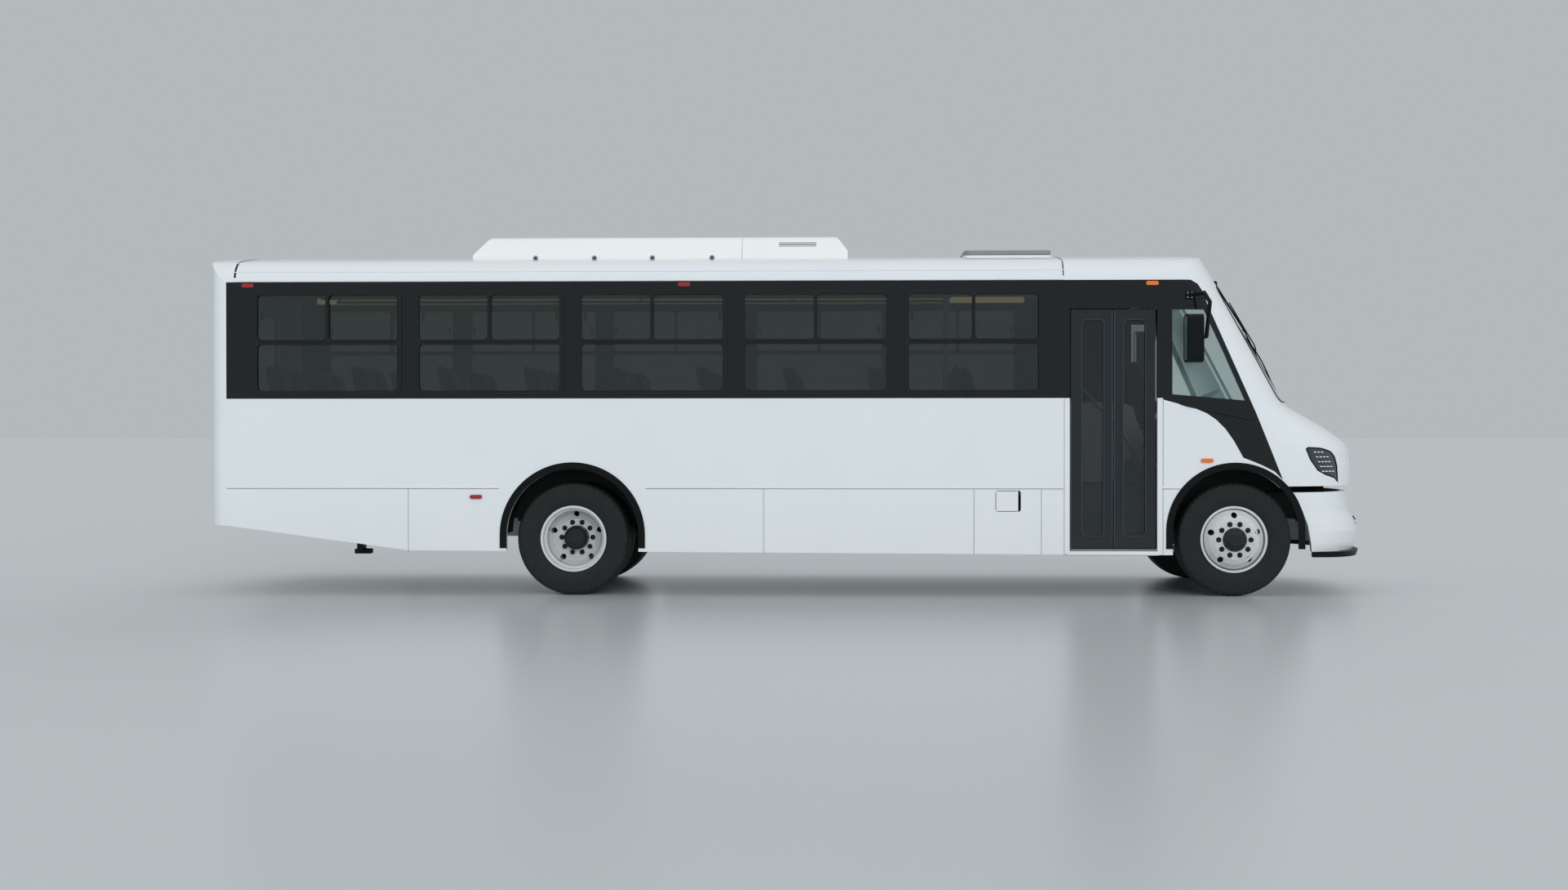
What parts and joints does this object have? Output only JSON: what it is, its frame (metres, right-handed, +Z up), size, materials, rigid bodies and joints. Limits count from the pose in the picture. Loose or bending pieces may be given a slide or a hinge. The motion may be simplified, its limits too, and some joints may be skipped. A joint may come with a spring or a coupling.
{
  "type": "city bus",
  "caption": "Front-engined city bus with a short sloping nose, one two-leaf door, black window band, rooftop air conditioner and twin rear wheels.",
  "frame": {"origin": "on the ground at the middle of the whole outline", "axes": "+X forward along the length, +Y to the left side, +Z up"},
  "size_m": [10.5417, 3.16, 3.2843],
  "materials": {
    "body_white": "gloss",
    "body_black": "gloss",
    "black_plastic": "satin",
    "grey_plastic": "satin",
    "frame_rubber": "matt",
    "tinted_glass": "polished",
    "clear_glass": "polished",
    "chassis_black": "satin",
    "floor_vinyl": "matt",
    "seat_fabric": "matt",
    "rail_metal": "satin",
    "lamp_red": "gloss",
    "lamp_amber": "gloss",
    "lamp_dark": "gloss",
    "ac_white": "gloss",
    "cast_metal": "matt",
    "wheel_white": "gloss",
    "tyre_black": "matt",
    "door_black": "satin",
    "step_metal": "satin"
  },
  "bodies": {
    "body": {"floor": "floor_vinyl", "step_well": "step_metal", "chassis_frame": "chassis_black", "side_walls": "body_white", "window_bands": "body_black", "window_frames": "frame_rubber", "window_panes": "tinted_glass", "roof": "body_white", "roof_front": "body_white", "rear_cap": "body_white", "rear_bumper": "body_white", "red_lamps": "lamp_red", "front_cap": "body_white", "cab_mask": "body_black", "cab_glass": "clear_glass", "windscreen": "clear_glass", "headlamps": "lamp_dark", "grille": "black_plastic", "front_bumper": "body_white", "bumper_lip": "black_plastic", "arch_trims": "black_plastic", "wheel_boxes": "chassis_black", "ac_unit": "ac_white", "ac_guard": "black_plastic", "fuel_tank": "chassis_black", "seats": "seat_fabric", "dashboard": "black_plastic", "steering_wheel": "black_plastic", "handrails": "rail_metal", "engine": "cast_metal", "prop_shaft": "chassis_black", "front_axle": "chassis_black", "rear_axle": "chassis_black", "springs": "chassis_black", "amber_lamps": "lamp_amber", "mirrors": "black_plastic", "wipers": "black_plastic"},
    "door_rear": {"door_leaf_rear": "door_black", "door_glass_rear": "tinted_glass"},
    "door_front": {"door_leaf_front": "door_black", "door_glass_front": "tinted_glass"},
    "hatch": {"roof_hatch": "grey_plastic"},
    "flap": {"fuel_flap": "body_white"},
    "hood": {"bonnet": "body_white"},
    "steer_right": {"knuckle_right": "cast_metal"},
    "steer_left": {"knuckle_left": "cast_metal"},
    "track_rod": {"tie_rod": "chassis_black"},
    "front_wheel_right": {"tyre_front_right": "tyre_black", "wheel_front_right": "wheel_white"},
    "front_wheel_left": {"tyre_front_left": "tyre_black", "wheel_front_left": "wheel_white"},
    "rear_wheels_right": {"tyres_rear_right": "tyre_black", "wheels_rear_right": "wheel_white"},
    "rear_wheels_left": {"tyres_rear_left": "tyre_black", "wheels_rear_left": "wheel_white"}
  },
  "joints": [
    {"name": "door_rear_hinge", "type": "hinge", "parent": "body", "child": "door_rear", "pos_m": [2.523, -1.2175, 1.4], "axis": [0, 0, 1], "range_deg": [0, 88]},
    {"name": "door_front_hinge", "type": "hinge", "parent": "body", "child": "door_front", "pos_m": [3.231, -1.2175, 1.4], "axis": [0, 0, -1], "range_deg": [0, 88]},
    {"name": "hatch_hinge", "type": "hinge", "parent": "body", "child": "hatch", "pos_m": [2.416, 0, 3.1155], "axis": [0, 1, 0], "range_deg": [0, 25]},
    {"name": "flap_hinge", "type": "hinge", "parent": "body", "child": "flap", "pos_m": [2.029, -1.243, 0.849], "axis": [0, 0, 1], "range_deg": [0, 100]},
    {"name": "hood_hinge", "type": "hinge", "parent": "body", "child": "hood", "pos_m": [4.64, 0, 1.66909], "axis": [0, -1, 0], "range_deg": [0, 50]},
    {"name": "steering_right", "type": "hinge", "parent": "body", "child": "steer_right", "pos_m": [3.955, -0.86, 0.506], "axis": [0, 0, 1], "range_deg": [-32, 32]},
    {"name": "steering_left", "type": "hinge", "parent": "body", "child": "steer_left", "pos_m": [3.955, 0.86, 0.506], "axis": [0, 0, 1], "range_deg": [-32, 32]},
    {"name": "tie_rod_pivot", "type": "hinge", "parent": "steer_right", "child": "track_rod", "pos_m": [3.725, -0.86, 0.377], "axis": [0, 0, 1], "range_deg": [-33, 33]},
    {"name": "front_right_spin", "type": "hinge", "parent": "steer_right", "child": "front_wheel_right", "pos_m": [3.955, -1.0625, 0.506], "axis": [0, 1, 0], "continuous": true},
    {"name": "front_left_spin", "type": "hinge", "parent": "steer_left", "child": "front_wheel_left", "pos_m": [3.955, 1.0625, 0.506], "axis": [0, 1, 0], "continuous": true},
    {"name": "rear_right_spin", "type": "hinge", "parent": "body", "child": "rear_wheels_right", "pos_m": [-1.945, -0.9075, 0.506], "axis": [0, 1, 0], "continuous": true},
    {"name": "rear_left_spin", "type": "hinge", "parent": "body", "child": "rear_wheels_left", "pos_m": [-1.945, 0.9075, 0.506], "axis": [0, 1, 0], "continuous": true}
  ],
  "couplings": [
    {"joint": "steering_left", "follows": "steering_right", "ratio": 1},
    {"joint": "tie_rod_pivot", "follows": "steering_right", "ratio": -1}
  ]
}
